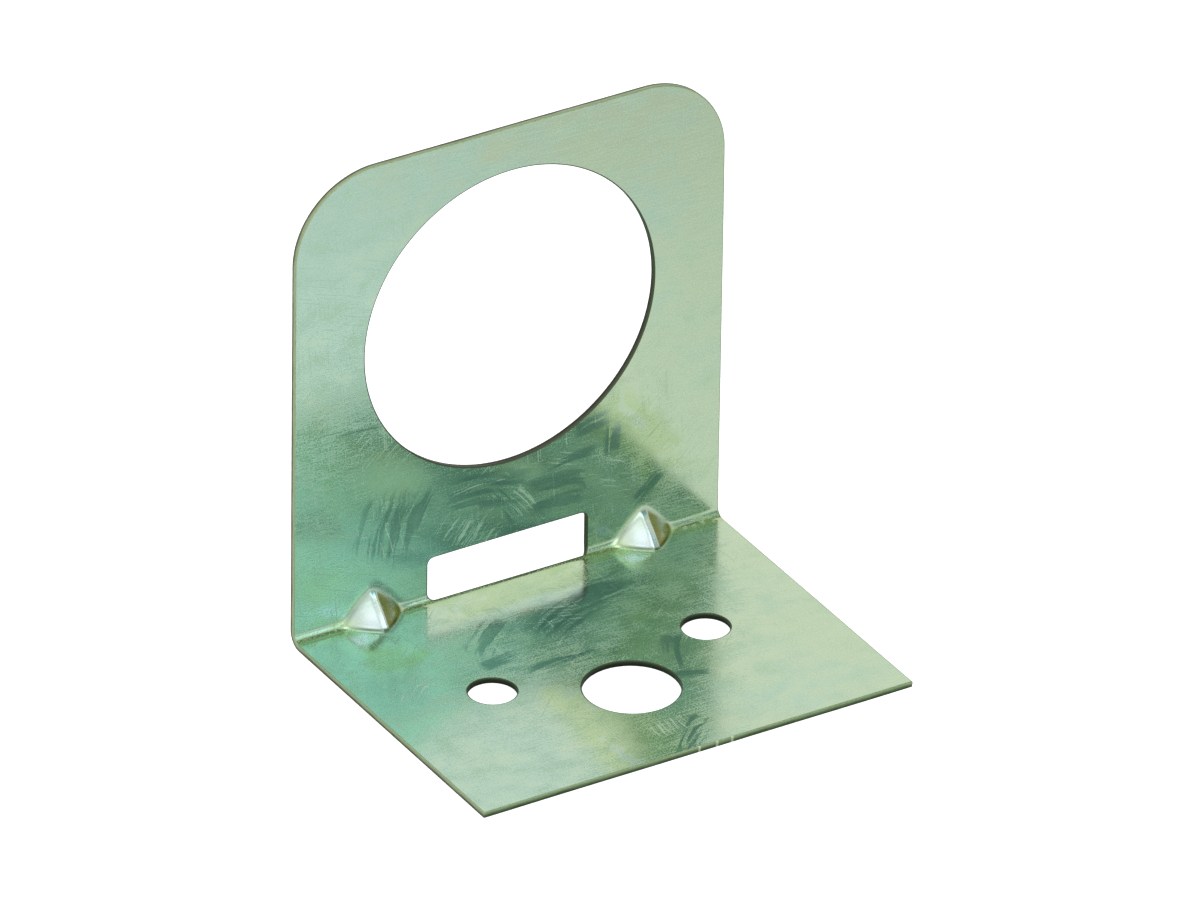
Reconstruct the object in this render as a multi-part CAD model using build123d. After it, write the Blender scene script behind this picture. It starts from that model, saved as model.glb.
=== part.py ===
"""Stamped and folded sheet-metal angle bracket with a large port, a slot and two pressed gussets.

Frame: X runs along the fold, Y from the front edge of the base to the back of the wall, Z up.
The origin is the centre of the footprint, on the underside of the base. Lengths are in millimetres.
"""
import math
import os

from build123d import *

# Sheet
sheet_thickness = 1.0
bracket_width = 80.0
wall_height = 85.0  # underside of the base to the top of the wall
base_depth = 61.0  # back of the wall to the front edge of the base
inside_bend_radius = 1.6
top_corner_radius = 15.0

# Port in the wall
port_diameter = 54.0
port_height = 50.0  # underside of the base to the port's axis

# Holes in the base
fixing_hole_diameter = 8.0
fixing_hole_spacing = 40.0
fixing_hole_setback = 30.0  # back of the wall to the holes' axes
centre_hole_diameter = 16.0
centre_hole_setback = 40.0

# Slot through the foot of the wall and most of the fold
slot_width = 30.0
slot_top_height = 9.0
slot_corner_radius = 1.2
slot_lip_angle = 39.0  # degrees of the fold that stay on the base below the slot

# Gussets pressed into the fold from outside
gusset_spacing = 51.0
gusset_width = 9.8  # tip to tip along the fold
gusset_reach = 5.3  # up the wall and out along the base, from the inside corner
gusset_hollow_radius = 0.3  # bottom of the groove seen from outside
gusset_blend_radius = 0.6  # inside, where the flanks run out into the sheet

# Planes and axes that follow from the sizes above
wall_back_y = base_depth / 2
wall_front_y = wall_back_y - sheet_thickness
base_front_y = -base_depth / 2
bend_axis_y = wall_front_y - inside_bend_radius
bend_axis_z = sheet_thickness + inside_bend_radius
outside_bend_radius = inside_bend_radius + sheet_thickness
cutter_length = 4 * sheet_thickness
ridge_axis = Axis((0, wall_front_y - gusset_reach, sheet_thickness), (0, 1, 1))


def gusset_groove(depth_in_sheet):
    """A round-nosed V prism along the gusset's 45 degree ridge.

    It follows the sheet's outside face at depth_in_sheet 0 and its inside face at the full thickness.
    """
    outer_nose = gusset_hollow_radius + sheet_thickness
    nose_radius = gusset_hollow_radius + depth_in_sheet
    flank_offset = sheet_thickness - depth_in_sheet
    bend_to_corner = inside_bend_radius * (math.sqrt(2) - 1)
    tip_drop = gusset_reach / math.sqrt(2) - bend_to_corner - outer_nose
    tip_run = gusset_width / 2
    tangent_angle = math.asin(outer_nose / math.hypot(tip_run, tip_drop))
    half_angle = math.atan2(tip_run, tip_drop) - tangent_angle
    apex = outer_nose * (1 / math.sin(half_angle) - 1) - flank_offset / math.sin(half_angle)
    groove_depth = gusset_reach + outside_bend_radius
    half_mouth = (groove_depth + apex) * math.tan(half_angle)
    section = make_face(
        Polyline((0, apex), (-half_mouth, -groove_depth), (half_mouth, -groove_depth), close=True)
    )
    section = fillet(section.vertices().sort_by(Axis.Y)[-1], nose_radius)
    across_ridge = Plane(
        origin=(0, wall_front_y - gusset_reach / 2, sheet_thickness + gusset_reach / 2),
        x_dir=(1, 0, 0),
        z_dir=(0, -1, -1),
    )
    return extrude(across_ridge * section, amount=gusset_reach + cutter_length, both=True)


def space_inside(depth_in_sheet):
    """The block that fills the fold, up to the face that lies depth_in_sheet below the outside.

    The deeper block runs past the free edges of the outer one by its depth.
    """
    far_y = wall_back_y - depth_in_sheet
    outline = Polyline(
        (base_front_y - depth_in_sheet, depth_in_sheet),
        (far_y, depth_in_sheet),
        (far_y, wall_height + depth_in_sheet),
        (base_front_y - depth_in_sheet, wall_height + depth_in_sheet),
        close=True,
    )
    face = make_face(Plane.YZ * outline)
    fold_corner = face.vertices().sort_by_distance((0, far_y, depth_in_sheet))[0]
    face = fillet(fold_corner, outside_bend_radius - depth_in_sheet)
    block = extrude(face, amount=bracket_width / 2 + depth_in_sheet, both=True)
    groove = gusset_groove(depth_in_sheet)
    for side in (-1, 1):
        block -= Pos(side * gusset_spacing / 2, 0, 0) * groove
    rims = (
        block.edges()
        .filter_by(Axis.X, reverse=True)
        .filter_by(ridge_axis, reverse=True)
        .filter_by_position(Axis.X, -bracket_width / 2, bracket_width / 2, (False, False))
    )
    return fillet(rims, gusset_blend_radius + sheet_thickness - depth_in_sheet)


def wall_cutter(diameter, height):
    """A cylinder along Y through the wall."""
    centre = Pos(0, wall_back_y - sheet_thickness / 2, height)
    return centre * Rot(X=90) * Cylinder(diameter / 2, cutter_length)


def base_cutter(diameter, x, setback):
    """A cylinder along Z through the base, its axis set back from the wall's back face."""
    return Pos(x, wall_back_y - setback, sheet_thickness / 2) * Cylinder(diameter / 2, cutter_length)


def slot_cutter():
    """The slot's opening, ended inside the fold by a cut square to the sheet."""
    lip_angle = math.radians(slot_lip_angle)
    lip_reach = outside_bend_radius + cutter_length
    lip_y = bend_axis_y + lip_reach * math.sin(lip_angle)
    lip_z = bend_axis_z - lip_reach * math.cos(lip_angle)
    outline = Polyline(
        (bend_axis_y, bend_axis_z),
        (lip_y, lip_z),
        (wall_back_y + lip_reach, lip_z),
        (wall_back_y + lip_reach, slot_top_height),
        (bend_axis_y, slot_top_height),
        close=True,
    )
    cutter = extrude(make_face(Plane.YZ * outline), amount=slot_width / 2, both=True)
    lip_line = Axis((0, bend_axis_y, bend_axis_z), (0, lip_y - bend_axis_y, lip_z - bend_axis_z))
    lip_corners = cutter.edges().filter_by(lip_line)
    top_corners = cutter.edges().filter_by(Axis.Y).group_by(Axis.Z)[-1]
    return fillet(lip_corners + top_corners, slot_corner_radius)


def make_bracket():
    """One piece of folded sheet, with its corners, port, slot and holes."""
    bracket = space_inside(0) - space_inside(sheet_thickness)
    top_corners = bracket.edges().filter_by(Axis.Y).group_by(Axis.Z)[-1]
    bracket = fillet(top_corners, top_corner_radius)
    bracket -= wall_cutter(port_diameter, port_height)
    bracket -= slot_cutter()
    bracket -= base_cutter(centre_hole_diameter, 0, centre_hole_setback)
    for side in (-1, 1):
        bracket -= base_cutter(fixing_hole_diameter, side * fixing_hole_spacing / 2, fixing_hole_setback)
    return bracket


os.makedirs("parts", exist_ok=True)
export_step(make_bracket(), "parts/bracket.step")
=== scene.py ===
"""Dresses the stamped angle bracket: a punched blank is folded, its gussets are pressed, and it is plated.

Every length is in metres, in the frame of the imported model: X along the fold, Y from the front edge of
the base to the back of the wall, Z up. The flat blank is described by x across the sheet and run along it,
with run 0 where the base meets the fold and the wall beyond it, and by depth below the inside face.
"""

import math
import random

import bmesh
import bpy
from mathutils import Matrix, Quaternion, Vector
from mathutils.geometry import delaunay_2d_cdt


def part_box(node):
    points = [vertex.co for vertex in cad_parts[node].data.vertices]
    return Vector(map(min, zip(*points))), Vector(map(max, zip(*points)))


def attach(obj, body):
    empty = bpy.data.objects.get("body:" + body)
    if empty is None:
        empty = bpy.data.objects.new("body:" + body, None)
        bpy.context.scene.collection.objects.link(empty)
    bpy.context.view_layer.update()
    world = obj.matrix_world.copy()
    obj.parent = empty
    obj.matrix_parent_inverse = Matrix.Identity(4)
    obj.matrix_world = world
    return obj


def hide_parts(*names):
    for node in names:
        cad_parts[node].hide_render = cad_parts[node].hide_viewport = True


bl_info = {
    "name": "Stamped Angle Bracket",
    "version": (1, 0, 0),
    "blender": (4, 5, 0),
    "location": "View3D > Sidebar > Bracket",
    "description": "Folds, presses and plates a stamped sheet-metal angle bracket",
    "category": "Object",
}

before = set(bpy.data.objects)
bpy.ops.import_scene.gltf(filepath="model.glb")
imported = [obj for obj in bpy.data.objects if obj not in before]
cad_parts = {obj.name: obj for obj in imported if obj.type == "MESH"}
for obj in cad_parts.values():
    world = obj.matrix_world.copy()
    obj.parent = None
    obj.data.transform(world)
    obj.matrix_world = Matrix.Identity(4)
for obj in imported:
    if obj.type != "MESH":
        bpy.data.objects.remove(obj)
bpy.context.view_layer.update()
CAD_NODE = "bracket"
CAD_LOW, CAD_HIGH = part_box(CAD_NODE)
NUMBER, VECTOR = "NodeSocketFloat", "NodeSocketVector"

MM = 0.001
SQRT2 = math.sqrt(2)
QUARTER_TURN = math.pi / 2

# How far apart the points of the blank's mesh lie, and how clear of a cut edge they stay.
OUTLINE_STEP = 0.5 * MM
SLOT_STEP = 0.35 * MM
HOLE_STEP = 0.3 * MM
HOLE_STEP_PER_RADIUS = 0.008
EDGE_GUARD = 0.3 * MM
FLAT_STEP, FLAT_CLEARANCE = 1.6 * MM, 0.45 * MM
FOLD_STEP_ALONG, FOLD_STEP_ROUND = 0.8 * MM, 0.14 * MM
PRESS_STEP = 0.19 * MM
CLOSE_CLEARANCE = 0.12 * MM
FOLD_MARGIN = 0.5 * MM  # close points go on this far beyond the fold
PRESS_MARGIN_ALONG, PRESS_MARGIN_UP = 1.6 * MM, 1.3 * MM  # and this far beyond a gusset

TEAR_SEED = 11
WAVE_SEED, WAVE_SCALE = 3.0, 38.0
SHARP_EDGE_ANGLE = math.radians(40)

# How a gusset runs out into the sheet, which a press leaves softer than a drawing shows it.
FOOT_PULL = 30.0  # how strongly its foot on the base is pulled in, per metre
BLEND_RUNS = (-2.0 * MM, 4.0 * MM)  # over these runs the run-out widens, from the base to the wall,
BLEND_WIDTHS = (1.6, 2.3)  # between these parts of the gusset's blend,
BLEND_PER_DEPTH = 0.9  # and it widens again by this part of the depth below the inside face
FULLY_RAISED = 1.2 * MM  # where a gusset stands this far out of the fold, its mark is 1

# How the punch leaves a cut edge, from the inside face to the outside one: inset and depth as parts of
# the thickness, and how unevenly the metal tears there.
CUT_EDGE_ROWS = (
    (0.22, 0.000, 0.000),
    (0.12, 0.014, 0.000),
    (0.040, 0.050, 0.000),
    (0.012, 0.095, 0.000),
    (0.000, 0.150, 0.000),
    (0.000, 0.420, 0.004),
    (0.018, 0.530, 0.014),
    (0.045, 0.720, 0.022),
    (0.060, 0.900, 0.022),
    (0.035, 1.000, 0.012),
)


# ---- Sizes and colours that a user would change ----


def length(name, description, default):
    return bpy.props.FloatProperty(
        name=name, description=description, default=default, unit="LENGTH", precision=5
    )


def angle(name, description, degrees):
    return bpy.props.FloatProperty(
        name=name, description=description, default=math.radians(degrees), subtype="ANGLE", unit="ROTATION"
    )


def tone(name, description, default):
    return bpy.props.FloatVectorProperty(
        name=name, description=description, default=default, size=3, min=0, max=1, subtype="COLOR"
    )


class BracketSheet(bpy.types.PropertyGroup):
    """Sizes of the folded sheet"""

    thickness: length("Thickness", "Thickness of the sheet", 1.0 * MM)
    bend_radius: length("Bend radius", "Radius of the fold's inside face", 1.6 * MM)
    corner_radius: length("Corner radius", "Radius of the wall's two top corners", 15.0 * MM)
    port_diameter: length("Port diameter", "Diameter of the large opening in the wall", 54.0 * MM)
    port_height: length("Port height", "Height of the port's axis above the underside", 50.0 * MM)
    fixing_diameter: length("Fixing hole diameter", "Diameter of the two holes in the base", 8.0 * MM)
    fixing_spacing: length("Fixing hole spacing", "Distance between the two holes in the base", 40.0 * MM)
    fixing_setback: length("Fixing hole setback", "Back of the wall to the fixing holes' axes", 30.0 * MM)
    centre_diameter: length("Centre hole diameter", "Diameter of the middle hole in the base", 16.0 * MM)
    centre_setback: length("Centre hole setback", "Back of the wall to the middle hole's axis", 40.0 * MM)
    slot_width: length("Slot width", "Width of the slot at the foot of the wall", 30.0 * MM)
    slot_top: length("Slot top", "Height of the slot's upper edge above the underside", 9.0 * MM)
    slot_corner_radius: length("Slot corner radius", "Radius of the slot's corners", 1.2 * MM)
    slot_lip_angle: angle("Slot lip angle", "How far the fold goes round before the slot's lower edge", 39)
    waviness: length("Waviness", "How far the flat faces roll in and out", 0.06 * MM)


class BracketGussets(bpy.types.PropertyGroup):
    """Sizes of the two gussets pressed into the fold"""

    spacing: length("Spacing", "Distance between the two gussets", 51.0 * MM)
    width: length("Width", "Width along the fold, tip to tip", 9.8 * MM)
    reach: length("Reach", "Reach up the wall and out along the base", 5.3 * MM)
    hollow_radius: length("Hollow radius", "Radius at the bottom of the groove behind", 0.3 * MM)
    bulge: length("Bulge", "How far a gusset's flanks stand proud of flat ones", 0.25 * MM)
    blend: length("Blend", "Width over which a gusset runs out into the base, inside", 0.9 * MM)


class BracketFinish(bpy.types.PropertyGroup):
    """Colours and gloss of the plating"""

    zinc: tone("Zinc", "Colour of the passivated zinc", (0.53, 0.655, 0.46))
    zinc_cool: tone("Cool zinc", "Colour where the passivation is thin", (0.475, 0.655, 0.53))
    stain: tone("Stain", "Colour where the passivation is thick", (0.45, 0.60, 0.27))
    wiped: tone("Wiped zinc", "Colour where a wipe left a dark film", (0.28, 0.41, 0.34))
    scuffed: tone("Scuffed zinc", "Colour of scuffs and scratches", (0.70, 0.83, 0.70))
    # Ridge zinc also paints a highlight along the gussets' ridges.
    ridge: tone("Ridge zinc", "Colour where the tool polished the ridges", (1.0, 0.97, 0.74))
    # Rubbed zinc also paints highlights on the gussets' flanks and beside their feet.
    rubbed: tone("Rubbed zinc", "Colour where pressing rubbed the film off", (0.67, 0.78, 0.80))
    # Crease zinc is painted shade in the creases at the gussets' feet.
    painted_crease_shade: tone("Crease zinc", "Colour of the painted_shade at the foot of the gussets", (0.14, 0.21, 0.14))
    edge_zinc: tone("Edge zinc", "Colour of the plated part of the sheared edges", (0.38, 0.46, 0.27))
    cut_steel: tone("Cut steel", "Colour of the torn part of the sheared edges", (0.15, 0.17, 0.085))
    # Dark cut is also the painted shade on the outer lip and in the openings' cut faces.
    torn_dark_and_painted_shade: tone("Dark cut", "Colour of the punched openings and the outer lip", (0.035, 0.035, 0.022))
    roughness: bpy.props.FloatProperty(
        name="Roughness",
        description="Roughness of the clean plating",
        default=0.27,
        min=0,
        max=1,
        subtype="FACTOR",
    )


class BracketStage(bpy.types.PropertyGroup):
    """Camera and light"""

    azimuth: angle("Azimuth", "Camera's turn from straight in front", -31.4774)
    elevation: angle("Elevation", "Camera's angle above the floor", 30.763)
    roll: angle("Roll", "Camera's turn about its line of sight", 0.8636)
    distance: length("Distance", "Camera to the point that it looks at", 2.8227)
    frame_width: length("Frame width", "Width that the picture takes in at that point", 0.192059)
    floor_size: length("Floor size", "Side of the square floor", 8.0)


# ---- Formulas inside node trees ----


class Number:
    """A number carried by a node's socket, so that a rule in a node tree reads as a formula."""

    def __init__(self, tree, socket):
        self.tree, self.socket = tree, socket

    def math(self, operation, *others):
        node = self.tree.nodes.new("ShaderNodeMath")
        node.operation = operation
        for slot, value in zip(node.inputs, (self, *others)):
            feed(self.tree, slot, value)
        return Number(self.tree, node.outputs[0])

    def __add__(self, other):
        return self.math("ADD", other)

    __radd__ = __add__

    def __mul__(self, other):
        return self.math("MULTIPLY", other)

    __rmul__ = __mul__

    def __sub__(self, other):
        return self.math("SUBTRACT", other)

    def __rsub__(self, other):
        return -self + other

    def __neg__(self):
        return self.math("MULTIPLY", -1.0)

    def __truediv__(self, other):
        return self.math("DIVIDE", other)

    def between(self, low, high):
        return self.math("MAXIMUM", low).math("MINIMUM", high)

    def step(self, low, high, out_low=0.0, out_high=1.0):
        """A smooth step from out_low at low to out_high at high."""
        node = self.tree.nodes.new("ShaderNodeMapRange")
        # It never leaves its two ends, and so many clamps would outgrow the shader's memory.
        node.interpolation_type, node.clamp = "SMOOTHSTEP", False
        names = ("Value", "From Min", "From Max", "To Min", "To Max")
        for name, value in zip(names, (self, low, high, out_low, out_high)):
            feed(self.tree, node.inputs[name], value)
        return Number(self.tree, node.outputs["Result"])

    def within(self, rise, fall):
        """1 between two soft ends and 0 beyond them."""
        return self.step(*rise) * self.step(*fall, 1.0, 0.0)


def feed(tree, slot, value):
    """Sets a socket's value, or links what feeds it."""
    if isinstance(value, Number):
        value = value.socket
    if isinstance(value, bpy.types.NodeSocket):
        tree.links.new(value, slot)
    else:
        slot.default_value = value


def node_of(tree, kind, **values):
    """A new node. Names of its own properties and of its inputs may both be given, inputs in capitals."""
    node = tree.nodes.new(kind)
    for name, value in values.items():
        if name[0].islower():
            setattr(node, name, value)
    for name, value in values.items():
        if not name[0].islower():
            feed(tree, node.inputs[name], value)
    return node


def noise(tree, vector, scale, detail, roughness=0.5, **others):
    node = node_of(
        tree, "ShaderNodeTexNoise", Vector=vector, Scale=scale, Detail=detail, Roughness=roughness, **others
    )
    return Number(tree, node.outputs["Fac"])


def split_vector(tree, vector):
    split = node_of(tree, "ShaderNodeSeparateXYZ", Vector=vector)
    return (Number(tree, socket) for socket in split.outputs)


def numbers(**defaults):
    """Entries for a tree's number inputs, with spaces for underscores in their names."""
    return tuple((name.replace("_", " "), NUMBER, value) for name, value in defaults.items())


def group_inputs(tree, entries):
    """Makes a tree's inputs and returns its Group Input node."""
    for name, kind, default in entries:
        item = tree.interface.new_socket(name=name, in_out="INPUT", socket_type=kind)
        if default is not None:
            item.default_value = default
    return tree.nodes.new("NodeGroupInput")


# ---- The punched blank ----


def spaced(start, end, step):
    """Points from start up to, but without, end."""
    count = max(1, round((Vector(end) - Vector(start)).length / step))
    return [Vector(start).lerp(Vector(end), i / count) for i in range(count)]


def on_circle(centre, radius, turned):
    return centre + radius * Vector((math.cos(turned), math.sin(turned)))


def arc(centre, radius, start_degrees, end_degrees, step):
    """Points round an arc, without its last one."""
    start, end = math.radians(start_degrees), math.radians(end_degrees)
    count = max(2, round(abs(end - start) * radius / step))
    return [on_circle(centre, radius, start + (end - start) * i / count) for i in range(count)]


def rounded_rectangle(low, high, radii, step):
    """A loop, anticlockwise from its lower left corner, with a radius for each corner in turn."""
    corners = ((low[0], low[1]), (high[0], low[1]), (high[0], high[1]), (low[0], high[1]))
    inward = ((1, 1), (-1, 1), (-1, -1), (1, -1))
    ends = []
    for (x, y), (dx, dy), radius, start in zip(corners, inward, radii, (180, 270, 0, 90)):
        centre = Vector((x + dx * radius, y + dy * radius))
        if radius:
            bend = arc(centre, radius, start, start + 90, min(step, radius / 4))
        else:
            bend = []
        ends.append((bend, on_circle(centre, radius, math.radians(start + 90))))
    loop = []
    for i, (bend, last) in enumerate(ends):
        following = ends[(i + 1) % 4]
        loop += bend + spaced(last, (following[0] or [following[1]])[0], step)
    return loop


class Blank:
    """The blank's outline and openings, in x and run."""

    def __init__(self, sheet):
        fold_length = sheet.bend_radius * QUARTER_TURN
        bend_y = CAD_HIGH[1] - sheet.thickness - sheet.bend_radius
        bend_z = CAD_LOW[2] + sheet.thickness + sheet.bend_radius
        self.fold_length = fold_length
        self.thickness = sheet.thickness
        self.low = Vector((CAD_LOW[0], CAD_LOW[1] - bend_y))
        self.high = Vector((CAD_HIGH[0], fold_length + CAD_HIGH[2] - bend_z))
        self.corner_radius = sheet.corner_radius
        back_run = CAD_HIGH[1] - bend_y
        side = sheet.fixing_spacing / 2
        self.holes = [
            (Vector((0, fold_length + sheet.port_height - bend_z)), sheet.port_diameter / 2),
            (Vector((0, back_run - sheet.centre_setback)), sheet.centre_diameter / 2),
            (Vector((-side, back_run - sheet.fixing_setback)), sheet.fixing_diameter / 2),
            (Vector((side, back_run - sheet.fixing_setback)), sheet.fixing_diameter / 2),
        ]
        self.slot_low = Vector((-sheet.slot_width / 2, sheet.bend_radius * sheet.slot_lip_angle))
        self.slot_high = Vector((sheet.slot_width / 2, fold_length + sheet.slot_top - bend_z))
        self.slot_radius = sheet.slot_corner_radius

    def loops(self):
        """The cut edges. Each keeps the metal on its left."""
        corners = (0, 0, self.corner_radius, self.corner_radius)
        outline = rounded_rectangle(self.low, self.high, corners, OUTLINE_STEP)
        slot = rounded_rectangle(self.slot_low, self.slot_high, (self.slot_radius,) * 4, SLOT_STEP)
        circles = [
            arc(centre, radius, 0, 360, HOLE_STEP + radius * HOLE_STEP_PER_RADIUS)
            for centre, radius in self.holes
        ]
        return [outline] + [loop[::-1] for loop in (slot, *circles)]

    def metal_beyond(self, point):
        """Distance from a point to the nearest cut edge, negative where there is no metal."""
        x, run = point
        distances = [(point - centre).length - radius for centre, radius in self.holes]
        middle, half = (self.slot_low + self.slot_high) / 2, (self.slot_high - self.slot_low) / 2
        qx = abs(x - middle.x) - half.x + self.slot_radius
        qy = abs(run - middle.y) - half.y + self.slot_radius
        distances.append(math.hypot(max(qx, 0), max(qy, 0)) + min(max(qx, qy), 0) - self.slot_radius)
        distances += [self.high.x - abs(x), run - self.low.y, self.high.y - run]
        cx, cy = abs(x) - (self.high.x - self.corner_radius), run - (self.high.y - self.corner_radius)
        if cx > 0 and cy > 0:
            distances.append(self.corner_radius - math.hypot(cx, cy))
        return min(distances)


def steps(low, high, step):
    count = max(1, round((high - low) / step))
    return [low + (high - low) * i / count for i in range(count + 1)]


def outward_normals(loop):
    """Mitred directions out of the metal at each point of a loop that keeps the metal on its left."""
    normals = []
    for i, here in enumerate(loop):
        before = (here - loop[i - 1]).normalized()
        after = (loop[(i + 1) % len(loop)] - here).normalized()
        one, two = Vector((before.y, -before.x)), Vector((after.y, -after.x))
        normals.append((one + two) / (1 + one.dot(two)))
    return normals


def blank_points(blank, gussets, loops):
    """Points inside the blank: sparse where it stays flat, close in the fold and under the gussets."""
    points = []
    for loop in loops:
        points += [here - normal * EDGE_GUARD for here, normal in zip(loop, outward_normals(loop))]
    spacing, half_width = gussets.spacing, gussets.width / 2 + PRESS_MARGIN_ALONG
    reach = gussets.reach + PRESS_MARGIN_UP
    press_low, press_high = -reach, blank.fold_length + reach
    fold_low, fold_high = -FOLD_MARGIN, blank.fold_length + FOLD_MARGIN

    def pressed(x, run):
        return abs(abs(x) - spacing / 2) < half_width and press_low < run < press_high

    def add(point, clear):
        if blank.metal_beyond(point) > EDGE_GUARD + clear:
            points.append(point)

    for x in steps(blank.low.x, blank.high.x, FLAT_STEP):
        for run in steps(blank.low.y, blank.high.y, FLAT_STEP):
            if not pressed(x, run) and not fold_low - FOLD_MARGIN < run < fold_high + FOLD_MARGIN:
                add(Vector((x, run)), FLAT_CLEARANCE)
    for x in steps(blank.low.x, blank.high.x, FOLD_STEP_ALONG):
        for run in steps(fold_low, fold_high, FOLD_STEP_ROUND):
            if not pressed(x, run):
                add(Vector((x, run)), CLOSE_CLEARANCE)
    for side in (-1, 1):
        centre = side * spacing / 2
        for x in steps(centre - half_width, centre + half_width, PRESS_STEP):
            for run in steps(press_low, press_high, PRESS_STEP):
                if pressed(x, run):
                    add(Vector((x, run)), CLOSE_CLEARANCE)
    return points


def punched_blank(sheet, gussets):
    """The flat blank as a closed mesh, its inside face up, with its cut edges marked."""
    blank = Blank(sheet)
    thickness = sheet.thickness
    loops = blank.loops()
    points, rims = [], []
    for loop in loops:
        rims.append(range(len(points), len(points) + len(loop)))
        points += loop
    edges = [(rim[i], rim[(i + 1) % len(rim)]) for rim in rims for i in range(len(rim))]
    points += blank_points(blank, gussets, loops)
    # The triangles are found in millimetres: inside the outline (1), with points nearer than 1e-4 joined.
    flat, _, triangles, origins, _, _ = delaunay_2d_cdt([p / MM for p in points], edges, [], 1, 1e-4)
    place = {source: index for index, sources in enumerate(origins) for source in sources}
    flat = [p * MM for p in flat]

    def is_metal(triangle):
        return blank.metal_beyond(sum((flat[i] for i in triangle), Vector((0, 0))) / 3) > 0

    triangles = [t for t in triangles if is_metal(t)]

    count = len(flat)
    first, last = CUT_EDGE_ROWS[0], CUT_EDGE_ROWS[-1]
    uneven = random.Random(TEAR_SEED)
    vertices = [Vector((p.x, p.y, 0)) for p in flat] + [Vector((p.x, p.y, -thickness)) for p in flat]
    faces = list(triangles) + [tuple(count + i for i in reversed(t)) for t in triangles]
    first_cut_face = first_opening_face = len(faces)
    for loop, rim in zip(loops, rims):
        if loop is loops[1]:  # the outline comes before the openings
            first_opening_face = len(faces)
        normals = outward_normals(loop)
        rows = []
        for inset, depth, tear in CUT_EDGE_ROWS:
            row = []
            for here, normal, index in zip(loop, normals, rim):
                moved = here - normal * thickness * (inset + tear * uneven.random())
                corner = Vector((moved.x, moved.y, -depth * thickness))
                if depth == first[1]:
                    index = place[index]
                    vertices[index] = corner
                elif depth == last[1]:
                    index = count + place[index]
                    vertices[index] = corner
                else:
                    index = len(vertices)
                    vertices.append(corner)
                row.append(index)
            rows.append(row)
        for upper, lower in zip(rows, rows[1:]):
            for i in range(len(rim)):
                j = (i + 1) % len(rim)
                faces.append((upper[i], lower[i], lower[j], upper[j]))
    mesh = bpy.data.meshes.new("punched_blank")
    mesh.from_pydata(vertices, [], faces)
    mesh.validate()
    mesh.shade_smooth()
    marked = (("cut_edge", "BOOLEAN", first_cut_face), ("opening", "FLOAT", first_opening_face))
    for name, kind, first_face in marked:
        mark = mesh.attributes.new(name, kind, "FACE")
        mark.data.foreach_set("value", [i >= first_face for i in range(len(mesh.polygons))])
    pattern = mesh.attributes.new("flat_pattern", "FLOAT_VECTOR", "POINT")
    pattern.data.foreach_set("vector", [c for v in mesh.vertices for c in v.co])
    return mesh


# ---- Folding and pressing ----


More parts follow.
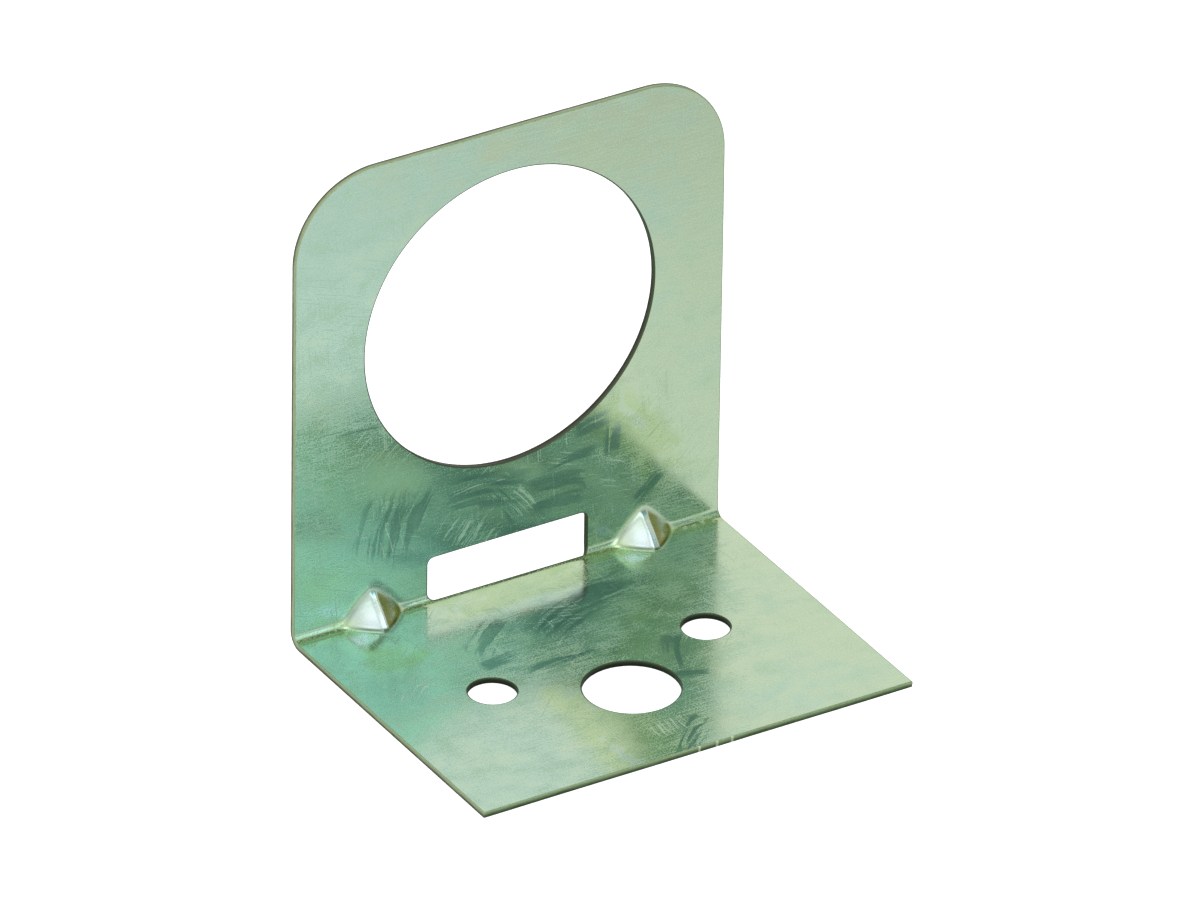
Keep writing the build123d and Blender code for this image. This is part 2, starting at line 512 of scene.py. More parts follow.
def fold_and_press_tree():
    """Node tree that folds the blank round its bend and raises the two gussets across the fold."""
    tree = bpy.data.node_groups.new("fold_and_press", "GeometryNodeTree")
    entry = group_inputs(
        tree,
        (
            ("Geometry", "NodeSocketGeometry", None),
            *numbers(
                Bend_axis_Y=0.0,
                Bend_axis_Z=0.0,
                Bend_radius=1.6 * MM,
                Thickness=1.0 * MM,
                Gusset_spacing=51.0 * MM,
                Gusset_reach=5.3 * MM,
                Gusset_flank_angle=1.0,
                Gusset_hollow_radius=0.3 * MM,
                Gusset_half_width=4.9 * MM,
                Gusset_bulge=0.25 * MM,
                Gusset_blend=0.9 * MM,
                Waviness=0.06 * MM,
                Waviness_seed=WAVE_SEED,
            ),
            ("Sheet finish", "NodeSocketMaterial", None),
            ("Edge finish", "NodeSocketMaterial", None),
        ),
    )
    tree.interface.new_socket(name="Geometry", in_out="OUTPUT", socket_type="NodeSocketGeometry")

    def given(name):
        return Number(tree, entry.outputs[name])

    place = node_of(tree, "GeometryNodeInputPosition").outputs[0]
    x, run, level = split_vector(tree, place)

    roll = noise(tree, place, WAVE_SCALE, 0.5, noise_dimensions="4D", W=given("Waviness seed"))
    depth = -level - given("Waviness") * roll.step(0.3, 0.7)

    radius = given("Bend radius")
    turned = (run / radius).between(0.0, QUARTER_TURN)
    folded_radius = radius + depth
    base_part = run.math("MINIMUM", 0.0)
    wall_part = (run - radius * QUARTER_TURN).math("MAXIMUM", 0.0)
    y = given("Bend axis Y") + folded_radius * turned.math("SINE") + base_part
    z = given("Bend axis Z") - folded_radius * turned.math("COSINE") + wall_part

    # Seen along the fold from the sharp inside corner: along the gusset's ridge, and out from the corner.
    corner_y, corner_z = given("Bend axis Y") + radius, given("Bend axis Z") - radius
    along = (y - corner_y + z - corner_z) / SQRT2
    out = (z - corner_z - y + corner_y) / SQRT2

    across = (x.math("ABSOLUTE") - given("Gusset spacing") / 2).math("ABSOLUTE")
    flank = given("Gusset flank angle")
    outer_nose = given("Gusset hollow radius") + given("Thickness")
    nose = outer_nose - depth
    nose_centre = given("Gusset reach") / SQRT2 - outer_nose
    on_nose = across.math("LESS_THAN", nose * flank.math("COSINE"))
    round_part = (nose * nose - across * across).math("MAXIMUM", 0.0).math("SQRT")
    straight_part = nose / flank.math("SINE") - across / flank.math("TANGENT")
    share = (across / given("Gusset half width")).between(0.0, 1.0)
    # A parabola that is 1 halfway down the flank.
    bulge = given("Gusset bulge") * 4.0 * share * (1.0 - share)
    below = along.math("MINIMUM", 0.0)
    foot = below * below * FOOT_PULL
    gusset = nose_centre + on_nose * round_part + (1.0 - on_nose) * straight_part + bulge - foot
    blend = given("Gusset blend") * run.step(*BLEND_RUNS, *BLEND_WIDTHS) + depth * BLEND_PER_DEPTH
    raised = out.math("SMOOTH_MAX", gusset, blend)

    merged = node_of(
        tree,
        "ShaderNodeCombineXYZ",
        X=x,
        Y=corner_y + (along - raised) / SQRT2,
        Z=corner_z + (along + raised) / SQRT2,
    )
    # The mark comes before the move, because a field reads the places that its own geometry has.
    mark = node_of(
        tree,
        "GeometryNodeStoreNamedAttribute",
        data_type="FLOAT",
        domain="POINT",
        Geometry=entry.outputs["Geometry"],
        Name="raised",
        Value=(raised - out).step(0.0, FULLY_RAISED),
    )
    shaped = node_of(tree, "GeometryNodeSetPosition", Geometry=mark.outputs[0], Position=merged.outputs[0])
    real = node_of(tree, "GeometryNodeRealizeInstances", Geometry=shaped.outputs[0])
    plated = node_of(
        tree, "GeometryNodeSetMaterial", Geometry=real.outputs[0], Material=entry.outputs["Sheet finish"]
    )
    cut_edge = node_of(tree, "GeometryNodeInputNamedAttribute", data_type="BOOLEAN", Name="cut_edge")
    sheared = node_of(
        tree,
        "GeometryNodeSetMaterial",
        Geometry=plated.outputs[0],
        Selection=cut_edge.outputs["Attribute"],
        Material=entry.outputs["Edge finish"],
    )
    leave = node_of(tree, "NodeGroupOutput")
    tree.links.new(sheared.outputs[0], leave.inputs["Geometry"])
    return tree


def flank_angle(sheet, gussets):
    """Angle between a gusset's ridge plane and its flanks, from its width and reach."""
    outer_nose = gussets.hollow_radius + sheet.thickness
    bend_to_corner = sheet.bend_radius * (SQRT2 - 1)
    tip_drop = gussets.reach / SQRT2 - bend_to_corner - outer_nose
    tip_run = gussets.width / 2
    return math.atan2(tip_run, tip_drop) - math.asin(outer_nose / math.hypot(tip_run, tip_drop))


def shaped_mesh(blank_mesh, tree, values, name):
    """Runs the tree on a mesh and returns the result as a plain mesh."""
    carrier = bpy.data.objects.new(name + "_blank", blank_mesh)
    bpy.context.collection.objects.link(carrier)
    modifier = carrier.modifiers.new(tree.name, "NODES")
    modifier.node_group = tree
    for item in tree.interface.items_tree:
        if item.in_out == "INPUT" and item.name in values:
            modifier[item.identifier] = values[item.name]
    bpy.context.view_layer.update()
    evaluated = carrier.evaluated_get(bpy.context.evaluated_depsgraph_get())
    mesh = bpy.data.meshes.new_from_object(evaluated)
    carrier.modifiers.remove(modifier)
    bpy.data.objects.remove(carrier)
    bpy.data.meshes.remove(blank_mesh)
    mesh.name = name
    return mesh


# ---- Finishes ----


def shader_group(name, inputs, outputs):
    """A new shader node group. Returns the tree, its named inputs, and its output node."""
    tree = bpy.data.node_groups.new(name, "ShaderNodeTree")
    entry = group_inputs(tree, inputs)
    for output in outputs:
        tree.interface.new_socket(name=output, in_out="OUTPUT", socket_type=NUMBER)
    given = {
        label: entry.outputs[label] if kind == VECTOR else Number(tree, entry.outputs[label])
        for label, kind, _ in inputs
    }
    return tree, given, tree.nodes.new("NodeGroupOutput")


def placed(tree, group, **values):
    """A group placed in a material's tree, with its own values."""
    node = tree.nodes.new("ShaderNodeGroup")
    node.node_tree = group
    for name, value in values.items():
        feed(tree, node.inputs[name], value)
    return node


def scaled(tree, vector, by):
    node = node_of(tree, "ShaderNodeVectorMath", operation="MULTIPLY")
    feed(tree, node.inputs[0], vector)
    feed(tree, node.inputs[1], by)
    return node.outputs[0]


def coloured(tree, factor, first, second, mode="MIX"):
    """Mixes two colours by a factor."""
    node = node_of(tree, "ShaderNodeMix", data_type="RGBA", blend_type=mode)
    for slot, value in ((0, factor), (6, first), (7, second)):
        feed(tree, node.inputs[slot], (*value, 1) if isinstance(value, tuple) and len(value) == 3 else value)
    return node.outputs[2]


def rolled_grain_group():
    """Grain of rolled and plated sheet: speckles, and streaks along x. The pattern is in millimetres."""
    tree, given, leave = shader_group("rolled_grain", (("Pattern", VECTOR, None),), ("Speckle", "Streak"))
    speckle_place = scaled(tree, given["Pattern"], (1.0, 1.15, 9.0))
    streak_place = scaled(tree, given["Pattern"], (0.16, 3.2, 9.0))
    feed(tree, leave.inputs["Speckle"], noise(tree, speckle_place, 3.4, 2.0, 0.75))
    feed(tree, leave.inputs["Streak"], noise(tree, streak_place, 1.0, 2.0, 0.6))
    return tree


def cloudy_film_group():
    """Unevenness of the passivation: broad clouds and smaller mottles. The pattern is in millimetres."""
    tree, given, leave = shader_group("cloudy_film", (("Pattern", VECTOR, None),), ("Cloud", "Mottle"))
    cloud_place = scaled(tree, given["Pattern"], (1.0, 1.0, 5.0))
    mottle_place = scaled(tree, given["Pattern"], (0.8, 1.0, 5.0))
    feed(tree, leave.inputs["Cloud"], noise(tree, cloud_place, 0.05, 1.0, 0.5))
    feed(tree, leave.inputs["Mottle"], noise(tree, mottle_place, 0.24, 4.0, 0.55, Distortion=0.25))
    return tree


def handling_mark_group():
    """A patch of parallel strokes, as a wiping cloth or a rubbing part leaves them, in millimetres."""
    tree, given, leave = shader_group(
        "handling_mark",
        (
            ("Pattern", VECTOR, None),
            *numbers(Wander=0.5, X=0.0, Run=0.0, Angle=0.0, Length=8.0, Width=3.0, Strands=1.0, Fullness=0.5),
        ),
        ("Mask",),
    )
    x, run, level = split_vector(tree, given["Pattern"])
    across, up = x - given["X"], run - given["Run"]
    cosine, sine = given["Angle"].math("COSINE"), given["Angle"].math("SINE")
    wander = given["Wander"] - 0.5
    along = across * cosine + up * sine + wander * given["Length"] * 0.7
    beside = up * cosine - across * sine + wander * (given["Width"] * 0.12 + 0.5)
    bent = beside + along * along * 0.02
    # The mark's own place shifts the noise, so that no two marks have the same threads.
    strand = node_of(
        tree, "ShaderNodeCombineXYZ", X=along * 0.07 + given["X"], Y=bent * given["Strands"] * 1.8
    )
    thread = noise(tree, strand.outputs[0], 1.0, 1.0, 0.6, noise_dimensions="2D")
    edge = 0.70 - given["Fullness"] * 0.36
    threads = thread.step(edge, edge + 0.12)
    ends = along.math("ABSOLUTE").step(given["Length"] * 0.28, given["Length"] * 0.55, 1.0, 0.0)
    sides = beside.math("ABSOLUTE").step(given["Width"] * 0.28, given["Width"] * 0.58, 1.0, 0.0)
    inside_face = level.step(-0.6, -0.4)
    feed(tree, leave.inputs["Mask"], threads * (ends * sides * inside_face))
    return tree


def stray_scratches_group():
    """Sparse fine scratches that run one way, in millimetres."""
    tree, given, leave = shader_group(
        "stray_scratches",
        (
            ("Pattern", VECTOR, None),
            *numbers(Patches=1.0, Angle=0.0, Share=0.1),
        ),
        ("Mask",),
    )
    turned = node_of(
        tree, "ShaderNodeVectorRotate", rotation_type="Z_AXIS", Vector=given["Pattern"], Angle=given["Angle"]
    )
    fine = noise(tree, scaled(tree, turned.outputs[0], (0.10, 2.6, 0.0)), 1.0, 1.0, noise_dimensions="2D")
    lines = fine.step(0.78 - given["Share"], 0.84 - given["Share"])
    feed(tree, leave.inputs["Mask"], lines * given["Patches"])
    return tree


# Marks that handling left on the inside face, and painted highlights: x, run, angle in degrees, length,
# width, strands for each millimetre, and how full the patch is, which from 1.9 up is one soft patch. Lengths
# are in millimetres.
# Wiped ones are smoother than the plating round them and hold a dark film.
WIPED = (
    (-12.5, -13.2, 40, 13.0, 6.0, 0.50, 0.58),
    (3.0, -12.6, 20, 17.0, 8.0, 0.62, 0.64),
    (-14.0, -19.9, 8, 8.0, 3.0, 0.60, 0.95),
    (-5.5, -24.6, 4, 14.0, 2.2, 0.70, 0.85),
    (10.5, -9.5, 12, 12.0, 7.0, 0.35, 0.6),
    (0.5, -54.2, 40, 13.0, 5.5, 0.45, 0.70),
    (10.7, -38.6, -20, 6.0, 2.5, 0.9, 0.6),
    (-16.7, 18.8, 62, 8.0, 4.6, 0.6, 0.6),
    (-4.0, 18.6, -8, 17.0, 7.5, 0.4, 0.75),
    (0.3, 15.3, -52, 9.0, 6.0, 0.7, 0.65),
    (8.7, 14.6, -5, 13.0, 8.0, 0.4, 0.75),
    (15.7, 25.2, 10, 7.0, 3.2, 0.5, 0.8),
    (19.7, 21.6, 84, 6.0, 3.4, 0.5, 0.75),
    (26.0, 9.8, 40, 7.0, 2.3, 0.9, 0.8),
    (12.0, 20.0, 4, 11.0, 2.0, 0.9, 0.8),
    (-22.5, 17.0, 74, 13.0, 13.0, 0.7, 0.56),
    (12.0, -30.5, 58, 11.0, 5.0, 0.5, 0.7),
    (-28.0, 37.0, -5, 10.0, 1.8, 0.8, 0.5),
)
# Stained ones have a thicker passivation.
STAINED = (
    (-8.0, -48.0, 84, 34.0, 17.0, 0.10, 1.4),
    (24.0, 21.0, 128, 24.0, 10.0, 0.10, 1.1),
    (-30.0, -11.0, 70, 9.0, 7.0, 0.5, 1.3),
    (-30.5, -8.0, 60, 4.5, 3.0, 0.8, 1.6),
    (-25.5, -12.5, 20, 8.0, 3.0, 0.8, 1.5),
    (0.0, -3.0, 2, 34.0, 7.0, 0.25, 1.1),
)
# Rubbed ones are less hazy, and show in reflections only.
RUBBED = (
    (-4.0, 18.5, 0, 60.0, 34.0, 0.08, 1.9),
    (-31.0, -5.5, 4, 8.0, 5.0, 0.10, 1.9),
    (16.0, 12.0, -38, 26.0, 14.0, 0.08, 1.9),
    (0.0, -13.0, 12, 20.0, 11.0, 0.08, 1.9),
    (8.0, -34.0, 54, 30.0, 12.0, 0.08, 1.9),
)
# Scuffed ones are rougher and lighter.
SCUFFED = (
    (33.0, 0.4, 15, 0.9, 0.8, 1.0, 1.2),
    (34.6, 0.2, 15, 1.1, 0.8, 1.0, 1.2),
    (36.4, 0.5, 15, 0.8, 0.9, 1.0, 1.2),
    (38.2, 0.1, 15, 0.7, 0.8, 1.0, 1.2),
    (-24.0, 15.2, 102, 8.5, 10.0, 1.25, 0.3),
    (-7.7, 11.6, 55, 6.0, 13.0, 1.3, 0.45),
    (2.5, 14.6, -52, 7.0, 5.0, 1.5, 0.4),
    (-5.3, 19.8, 2, 12.0, 1.2, 1.2, 0.5),
    (-0.7, -50.8, 92, 5.0, 8.0, 1.6, 0.45),
    (-16.7, -40.3, -12, 14.0, 3.0, 1.0, 0.4),
    (-10.0, -47.6, 86, 8.0, 1.4, 1.0, 0.5),
    (-14.5, -7.5, -33, 4.0, 1.6, 1.4, 0.6),
    (-31.0, -21.0, 40, 9.0, 5.0, 1.0, 0.35),
)
# Painted highlights beside the gussets' feet, in the colour of rubbed zinc.
FOOT_HIGHLIGHTS = (
    (-30.5, -3.4, 0, 3.6, 3.2, 0.5, 1.9),
    (20.8, -3.4, 0, 3.4, 2.8, 0.5, 1.9),
)
# Sparse stray scratches: what lets them show and how, the angle that they run at, and their share there.
STRAY_SCRATCHES = (
    ("Cloud", (0.42, 0.62), 0.35, 0.10),
    ("Mottle", (0.40, 0.60), 1.5, 0.10),
    ("Cloud", (0.36, 0.56, 1.0, 0.0), -0.75, 0.09),
)
# Runs over which the zinc changes, in millimetres: where it sets in, and where it ends. On the gussets'
# flanks and ridges the change is partly a painted highlight.
NEAR_FOLD = (-5.5, 0.0), (1.2, 4.5)
PRESS_WEAR_AND_HIGHLIGHT = (-3.6, -1.0), (0.8, 3.4)
POLISHED_AND_HIGHLIGHTED_RIDGE = (-3.6, -2.8), (4.4, 5.6)
# Where handling nicked the front edge of the base, along x, and a nick's half width, both in millimetres.
FRONT_EDGE_NICKS = (0.0, 3.3, 6.1)
NICK_HALF_WIDTH = (0.12, 0.30)


def new_material(name):
    material = bpy.data.materials.new(name)
    material.use_nodes = True
    tree = material.node_tree
    shader = tree.nodes["Principled BSDF"]
    return material, tree, shader


def stored(tree, name, output="Fac"):
    return node_of(tree, "ShaderNodeAttribute", attribute_name=name).outputs[output]


def flat_pattern(tree):
    """Where a point was on the flat blank, in millimetres, and its x, run and level."""
    pattern = scaled(tree, stored(tree, "flat_pattern", "Vector"), (1 / MM,) * 3)
    return pattern, *split_vector(tree, pattern)


def marks(tree, group, pattern, wander, rows):
    """All the handling marks, or painted highlights, of one kind, as one mask."""
    total = None
    for x, run, degrees, *size in rows:
        shape = dict(zip(("Length", "Width", "Strands", "Fullness"), size))
        node = placed(
            tree, group, Pattern=pattern, Wander=wander, X=x, Run=run, Angle=math.radians(degrees), **shape
        )
        mask = Number(tree, node.outputs["Mask"])
        total = mask if total is None else total.math("MAXIMUM", mask)
    return total


def zinc_sheet_material(finish, gussets, groups):
    """Bright zinc with a pale green passivation, rolled grain and handling marks."""
    material, tree, shader = new_material("zinc_sheet")
    pattern, x, run, _ = flat_pattern(tree)
    grain = placed(tree, groups["grain"], Pattern=pattern)
    speckle, streak = (Number(tree, grain.outputs[name]) for name in ("Speckle", "Streak"))
    film = placed(tree, groups["film"], Pattern=pattern)
    cloud, mottle = (Number(tree, film.outputs[name]) for name in ("Cloud", "Mottle"))
    raised = Number(tree, stored(tree, "raised"))
    pressed = raised.step(0.0, 0.5)
    off_ridge = (x.math("ABSOLUTE") - gussets.spacing / 2 / MM).math("ABSOLUTE")
    wiped, rubbed, stained, scuffed, foot_highlight = (
        marks(tree, groups["mark"], pattern, mottle, rows)
        for rows in (WIPED, RUBBED, STAINED, SCUFFED, FOOT_HIGHLIGHTS)
    )
    scratched = scuffed
    for source, limits, turned, share in STRAY_SCRATCHES:
        patches = Number(tree, film.outputs[source]).step(*limits)
        stray = placed(
            tree, groups["scratch"], Pattern=pattern, Patches=patches, Angle=turned, Share=share
        )
        # The front of the base has few of them.
        stray = Number(tree, stray.outputs["Mask"]) * run.step(-40.0, -28.0, 0.15, 0.75)
        scratched = scratched.math("MAXIMUM", stray)

    # Haze is the share of the surface that is rough at the scale of the grain.
    haze = (cloud - 0.5) * 0.2 + (mottle - 0.5) * 0.8 + 0.36
    haze = haze + scratched * 0.7 - wiped * 0.35 - rubbed * 0.2
    rough_grain = (haze + (speckle - 0.5) * 1.9 + (streak - 0.5) * 0.9 - 0.2).step(0.04, 0.40)
    # Rough grain adds 0.31, less on the pressed metal. The finish's roughness stands for its average, so
    # the smooth grain between lies 0.14 below it.
    roughness = rough_grain * (1.0 - pressed * 0.8) * 0.31 + (finish.roughness - 0.14) + pressed * 0.05
    feed(tree, shader.inputs["Roughness"], roughness)

    # The film is thinner towards the left, and in clouds, mottles and speckles.
    thin = (cloud - 0.5) * 1.0 + (mottle - 0.5) * 1.2 + (speckle - 0.5) * 0.6 - x * 0.008
    colour = coloured(tree, thin.step(-0.35, 0.35), tuple(finish.zinc), tuple(finish.zinc_cool))
    thick = (mottle * 0.6 + speckle * 0.5 - cloud * 0.1).step(0.53, 0.68)
    fold_stain = (run.within(*NEAR_FOLD) * (speckle * 0.6 + mottle * 0.6)).step(0.45, 0.62)
    # Bare zinc where the press rubbed the film off, with a painted highlight, strongest near the ridges.
    press_wear_and_highlight = off_ridge.step(1.8, 4.0, 1.0, 0.0) * run.within(*PRESS_WEAR_AND_HIGHLIGHT)
    # Painted shade in the creases at the gussets' feet, stronger towards the base.
    painted_crease_shade = raised.within((0.03, 0.24), (0.36, 0.95)) * run.step(-1.6, 1.0, 1.0, 0.28)
    # Painted highlight along the gussets' ridges, over bare zinc that the tool polished.
    ridge = pressed * off_ridge.step(0.15, 0.5, 1.0, 0.0) * run.within(*POLISHED_AND_HIGHLIGHTED_RIDGE)
    # Each layer of colour lies over the last, by the share that comes with it.
    for share, layer in (
        (thick * 0.3, finish.stain),
        ((stained * 0.5).math("MAXIMUM", fold_stain * 0.6), finish.stain),
        (wiped * 0.85, finish.wiped),
        (scuffed * 0.55, finish.scuffed),
        (raised.step(0.05, 0.85) * (press_wear_and_highlight * 0.55 + 0.35), finish.rubbed),
        (foot_highlight * 0.8, finish.rubbed),
        (ridge * 0.8, finish.ridge),
        (painted_crease_shade * 0.85, finish.painted_crease_shade),
    ):
        colour = coloured(tree, share, colour, tuple(layer))
    # The grain breaks the colour up. Painted shade darkens the wall a little upwards, and the gussets'
    # wall sides outwards.
    grain_and_painted_shade = (speckle - 0.5) * 0.34 + (streak - 0.5) * 0.20 + 1.0
    grain_and_painted_shade = grain_and_painted_shade * run.step(45.0, 85.0, 1.0, 0.92)
    grain_and_painted_shade = grain_and_painted_shade * (1.0 - pressed * off_ridge.step(2.0, 5.0) * run.step(1.0, 3.5) * 0.4)
    grey = node_of(tree, "ShaderNodeCombineColor", Red=grain_and_painted_shade, Green=grain_and_painted_shade, Blue=grain_and_painted_shade)
    colour = coloured(tree, 1.0, colour, grey.outputs[0], "MULTIPLY")
    feed(tree, shader.inputs["Base Color"], colour)
    shader.inputs["Metallic"].default_value = 1.0

    # Relief in millimetres.
    height = speckle * 0.006 + streak * 0.003 + scratched * 0.002 + mottle * 0.013
    bump = node_of(tree, "ShaderNodeBump", Strength=1.0, Distance=MM, Height=height)
    feed(tree, shader.inputs["Normal"], bump.outputs[0])
    return material


def sheared_edge_material(finish, groups):
    """Cut steel: plated below the inside face, torn and dark towards the outside one, with painted shade on
    the outer lip and in the openings.
    """
    material, tree, shader = new_material("sheared_edge")
    pattern, x, run, level = flat_pattern(tree)
    opening = Number(tree, stored(tree, "opening"))
    speckle = Number(tree, placed(tree, groups["grain"], Pattern=pattern).outputs["Speckle"])
    mottle = Number(tree, placed(tree, groups["film"], Pattern=pattern).outputs["Mottle"])
    plated = (level + (mottle - 0.5) * 0.9).step(-0.85, -0.22)
    colour = coloured(tree, plated, tuple(finish.cut_steel), tuple(finish.edge_zinc))
    # Painted shade darkens the outer lip and the openings' cut faces; the dark speckles are torn steel.
    lip = level.step(-0.92, -0.80, 1.0, 0.0)
    dark = (speckle.step(0.45, 0.7) * 0.45).math("MAXIMUM", lip * 0.85)
    dark = dark.math("MAXIMUM", opening * level.step(-0.5, 0.0, 0.95, 0.85))
    colour = coloured(tree, dark, colour, tuple(finish.torn_dark_and_painted_shade))
    nearest, *others = [(x - place).math("ABSOLUTE") for place in FRONT_EDGE_NICKS]
    for distance in others:
        nearest = nearest.math("MINIMUM", distance)
    nicks = nearest.step(*NICK_HALF_WIDTH, 1.0, 0.0) * run.step(-58.0, -57.0, 1.0, 0.0)
    colour = coloured(tree, nicks * 0.6, colour, tuple(finish.ridge))
    feed(tree, shader.inputs["Base Color"], colour)
    shader.inputs["Metallic"].default_value = 1.0
    feed(tree, shader.inputs["Roughness"], (speckle - 0.5) * 0.2 - plated * 0.12 + 0.52)
    bump = node_of(tree, "ShaderNodeBump", Strength=1.0, Distance=MM, Height=speckle * 0.02)
    feed(tree, shader.inputs["Normal"], bump.outputs[0])
    return material


# ---- Studio ----

# The point that the camera looks at, above the middle of the base.
CAMERA_TARGET = Vector((3.6965, 7.3358, 35.4108)) * MM

# Oblong lamps: name, place, what it faces, width and height, turn about its own axis in degrees, radiance
# and colour.
LAMPS = (
    ("soft_key", (-0.52, -0.42, 0.64), (0, 0, 0.03), (0.26, 0.26), 0, 0.45, (0.93, 0.96, 1.0)),
    ("soft_fill", (0.031, -0.095, 0.104), (0.031, 0, 0.104), (0.064, 0.14), -38, 1.20, (0.70, 0.87, 0.98)),
)

# Parts of the white room that differ: direction, full within and gone beyond so many degrees, and colour.
# They are the unlit side at the right, a dim spot above, a lamp overhead, and a cooler, darker front.
ROOM_PATCHES = (
    ((0.98, 0.05, 0.02), 14, 42, (0.25, 0.23, 0.04)),
    ((0.45, -0.08, 0.89), 10, 24, (0.20, 0.27, 0.15)),
    ((0.01, -0.285, 0.958), 8, 15, (1.8, 1.9, 2.1)),
    ((0.45, -0.73, 0.51), 8, 29, (0.25, 0.40, 0.46)),
)
WHITE = (1.0, 1.0, 1.0)

# The floor's own colour, and the colour of a painted shadow under the sheet, seen by mirror rays.
FLOOR_PALE, FLOOR_SHADOW_UNDER_SHEET = (0.66, 0.66, 0.66), (0.36, 0.56, 0.42)
# The floor's glow towards the camera, clear rays and mirror rays. The last fades from left to right, from
# and to these places in metres, and loses something under the sheet, as a painted shadow.
GLOW_COLOUR = (0.98, 1.0, 1.03, 1)
GLOW_TO_CAMERA, GLOW_TO_CLEAR = 0.78, 0.25
GLOW_FADE_PLACES, GLOW_TO_MIRROR = (0.02, 0.10), (0.37, 0.22)
GLOW_LOST_UNDER_SHEET = 0.28
UNDER_SHEET_BACK, UNDER_SHEET_SIDEWAYS = (-0.034, -0.031), (0.038, 0.042)


# ---- Pieces ----


class BRACKET_OT_folded_sheet(bpy.types.Operator):
    """Punches the blank, folds it, presses its gussets and plates it"""

    bl_idname = "bracket.folded_sheet"
    bl_label = "Folded Sheet"
    bl_options = {"REGISTER", "UNDO"}

    def execute(self, context):
        scene = context.scene
        sheet, gussets, finish = scene.bracket_sheet, scene.bracket_gussets, scene.bracket_finish
        groups = {
            "grain": rolled_grain_group(),
            "film": cloudy_film_group(),
            "mark": handling_mark_group(),
            "scratch": stray_scratches_group(),
        }
        values = {
            "Bend axis Y": CAD_HIGH[1] - sheet.thickness - sheet.bend_radius,
            "Bend axis Z": CAD_LOW[2] + sheet.thickness + sheet.bend_radius,
            "Bend radius": sheet.bend_radius,
            "Thickness": sheet.thickness,
            "Gusset spacing": gussets.spacing,
            "Gusset reach": gussets.reach,
            "Gusset flank angle": flank_angle(sheet, gussets),
            "Gusset hollow radius": gussets.hollow_radius,
            "Gusset half width": gussets.width / 2,
            "Gusset bulge": gussets.bulge,
            "Gusset blend": gussets.blend,
            "Waviness": sheet.waviness,
            "Waviness seed": WAVE_SEED,
            "Sheet finish": zinc_sheet_material(finish, gussets, groups),
            "Edge finish": sheared_edge_material(finish, groups),
        }
        mesh = shaped_mesh(punched_blank(sheet, gussets), fold_and_press_tree(), values, "folded_sheet")
        mesh.set_sharp_from_angle(angle=SHARP_EDGE_ANGLE)
        piece = bpy.data.objects.new("folded_sheet", mesh)
        context.collection.objects.link(piece)
        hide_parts(CAD_NODE)
        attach(piece, "root")
        return {"FINISHED"}


class BRACKET_OT_stage(bpy.types.Operator):
    """Lays the pale floor and sets the soft light and the camera"""

    bl_idname = "bracket.stage"
    bl_label = "Stage"
    bl_options = {"REGISTER", "UNDO"}

    def execute(self, context):
        scene = context.scene
        stage = scene.bracket_stage
        self.lay_floor(context, stage)
        self.light(scene)
        self.aim_camera(context, stage)
        scene.view_settings.view_transform = "Standard"
        return {"FINISHED"}

    def lay_floor(self, context, stage):
        mesh = bpy.data.meshes.new("floor")
        body = bmesh.new()
        bmesh.ops.create_grid(body, x_segments=1, y_segments=1, size=stage.floor_size / 2)
        body.to_mesh(mesh)
        body.free()
        for vertex in mesh.vertices:
            vertex.co.z = CAD_LOW[2]
        mesh.materials.append(floor_material())
        floor = bpy.data.objects.new("floor", mesh)
        context.collection.objects.link(floor)

    def light(self, scene):
        scene.world = studio_world()
        for row in LAMPS:
            self.soft_lamp(scene, *row)

    def soft_lamp(self, scene, name, place, target, size, turn, radiance, colour):
        """An oblong lamp with a given brightness as seen in a reflection, hidden from the camera."""
        lamp = bpy.data.lights.new(name, "AREA")
        lamp.shape, lamp.color = "RECTANGLE", colour
        lamp.size, lamp.size_y = size
        lamp.energy = radiance * math.pi * size[0] * size[1]
        holder = bpy.data.objects.new(name, lamp)
        holder.location = place
        facing = (Vector(place) - Vector(target)).to_track_quat("Z", "Y")
        holder.rotation_euler = (facing @ Quaternion((0, 0, 1), math.radians(turn))).to_euler()
        holder.visible_camera = False
        scene.collection.objects.link(holder)

    def aim_camera(self, context, stage):
        """Looks at the target from the stage's angles."""
        turn, rise = stage.azimuth, stage.elevation
        back = Vector((math.sin(turn) * math.cos(rise), -math.cos(turn) * math.cos(rise), math.sin(rise)))
        level = Vector((math.cos(turn), math.sin(turn), 0))
        upright = back.cross(level)
        right = level * math.cos(stage.roll) + upright * math.sin(stage.roll)
        up = back.cross(right)
        data = bpy.data.cameras.new("camera")
        data.sensor_width = 36.0
        data.lens = data.sensor_width * stage.distance / stage.frame_width
        data.clip_start, data.clip_end = 0.05, 50.0
        camera = bpy.data.objects.new("camera", data)
        camera.matrix_world = Matrix.Translation(CAMERA_TARGET + back * stage.distance) @ Matrix(
            (right, up, back)
        ).transposed().to_4x4()
        context.collection.objects.link(camera)
        context.scene.camera = camera


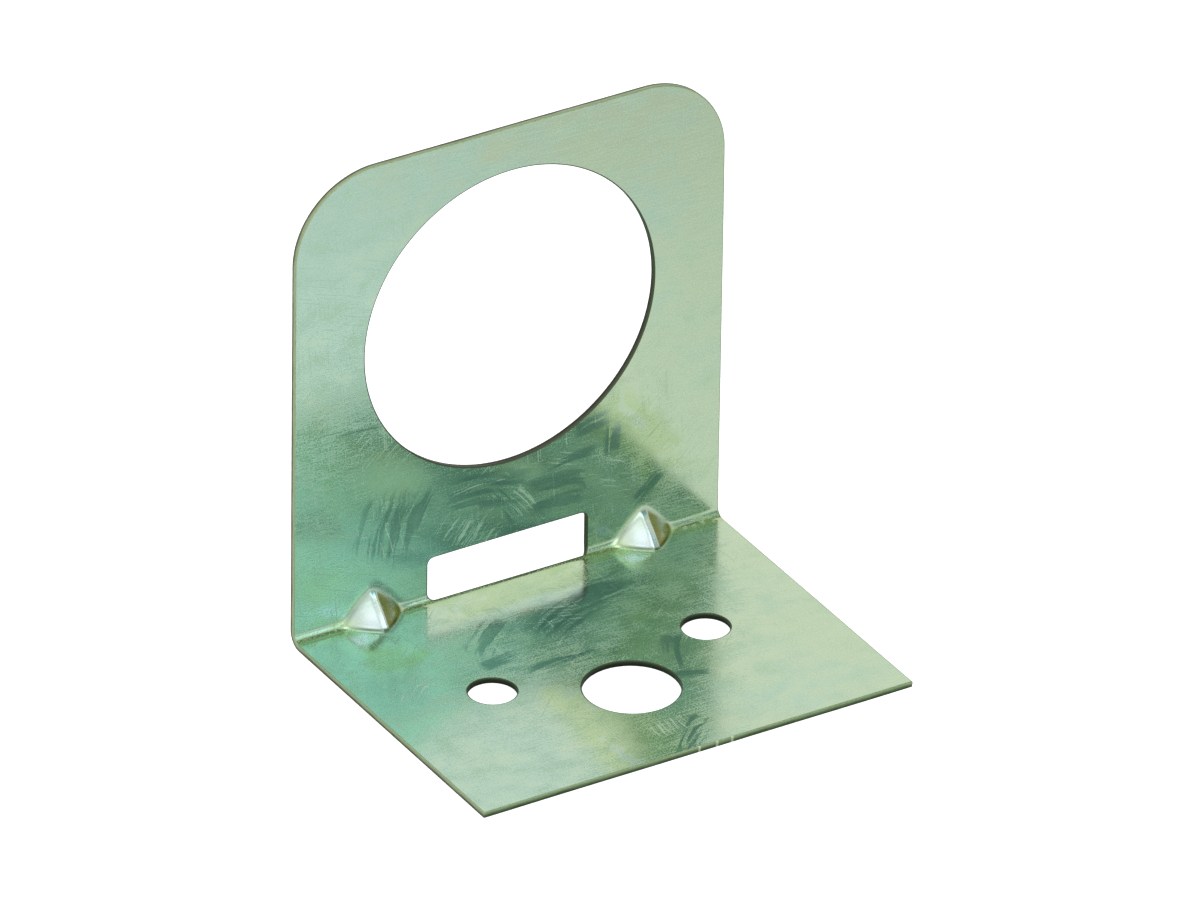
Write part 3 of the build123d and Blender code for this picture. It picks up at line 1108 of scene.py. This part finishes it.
def floor_material():
    """Pale floor that reads as white and keeps a faint shadow, and a painted shadow under the sheet for
    mirror rays.
    """
    material, tree, shader = new_material("pale_floor")
    tree.nodes.remove(shader)
    matt = node_of(tree, "ShaderNodeBsdfDiffuse")
    path = node_of(tree, "ShaderNodeLightPath")
    kinds = ("Is Camera Ray", "Is Glossy Ray", "Is Transmission Ray")
    camera, glossy, clear = (Number(tree, path.outputs[kind]) for kind in kinds)
    sideways, back, _ = split_vector(tree, node_of(tree, "ShaderNodeTexCoord").outputs["Object"])
    # Painted shadow: under the sheet, mirror rays see the floor darker and greener.
    under = back.step(*UNDER_SHEET_BACK) * sideways.math("ABSOLUTE").step(*UNDER_SHEET_SIDEWAYS, 1.0, 0.0)
    to_mirror = sideways.step(*GLOW_FADE_PLACES, *GLOW_TO_MIRROR) - under * GLOW_LOST_UNDER_SHEET
    feed(tree, matt.inputs["Color"], coloured(tree, glossy * under, FLOOR_PALE, FLOOR_SHADOW_UNDER_SHEET))
    strength = camera * GLOW_TO_CAMERA + glossy * to_mirror + clear * GLOW_TO_CLEAR
    glow = node_of(tree, "ShaderNodeEmission", Color=GLOW_COLOUR, Strength=strength)
    both = node_of(tree, "ShaderNodeAddShader")
    tree.links.new(matt.outputs[0], both.inputs[0])
    tree.links.new(glow.outputs[0], both.inputs[1])
    tree.links.new(both.outputs[0], tree.nodes["Material Output"].inputs["Surface"])
    return material


def studio_world():
    """White studio, darker towards the unlit room at the right and the front."""
    world = bpy.data.worlds.new("studio")
    world.use_nodes = True
    tree = world.node_tree
    background = tree.nodes["Background"]
    look = node_of(tree, "ShaderNodeTexCoord").outputs["Generated"]
    path = node_of(tree, "ShaderNodeLightPath")

    def towards(direction, inner, outer):
        """1 within inner degrees of a direction, 0 beyond outer degrees."""
        aim = node_of(tree, "ShaderNodeVectorMath", operation="DOT_PRODUCT")
        feed(tree, aim.inputs[0], look)
        feed(tree, aim.inputs[1], Vector(direction).normalized())
        limits = (math.cos(math.radians(degrees)) for degrees in (outer, inner))
        return Number(tree, aim.outputs["Value"]).step(*limits)

    seen = WHITE
    for direction, inner, outer, colour in ROOM_PATCHES:
        seen = coloured(tree, towards(direction, inner, outer), seen, colour)
    shown = coloured(tree, path.outputs["Is Camera Ray"], seen, WHITE)
    feed(tree, background.inputs["Color"], shown)
    return world


# ---- Panel and running ----


class BRACKET_PT_pieces(bpy.types.Panel):
    """Lists the bracket's sizes and pieces"""

    bl_idname = "BRACKET_PT_pieces"
    bl_label = "Stamped Bracket"
    bl_space_type = "VIEW_3D"
    bl_region_type = "UI"
    bl_category = "Bracket"

    def draw(self, context):
        for group, operator in (
            ("bracket_sheet", None),
            ("bracket_gussets", None),
            ("bracket_finish", BRACKET_OT_folded_sheet),
            ("bracket_stage", BRACKET_OT_stage),
        ):
            box = self.layout.box()
            settings = getattr(context.scene, group)
            for name in settings.__annotations__:
                box.prop(settings, name)
            if operator:
                box.operator(operator.bl_idname)


GROUPS = {
    "bracket_sheet": BracketSheet,
    "bracket_gussets": BracketGussets,
    "bracket_finish": BracketFinish,
    "bracket_stage": BracketStage,
}
CLASSES = (*GROUPS.values(), BRACKET_OT_folded_sheet, BRACKET_OT_stage, BRACKET_PT_pieces)


def register():
    for made in CLASSES:
        bpy.utils.register_class(made)
    for name, group in GROUPS.items():
        setattr(bpy.types.Scene, name, bpy.props.PointerProperty(type=group))


def unregister():
    for name in GROUPS:
        delattr(bpy.types.Scene, name)
    for made in reversed(CLASSES):
        bpy.utils.unregister_class(made)


def main():
    register()
    bpy.ops.bracket.stage()
    bpy.ops.bracket.folded_sheet()


if __name__ == "__main__":
    main()
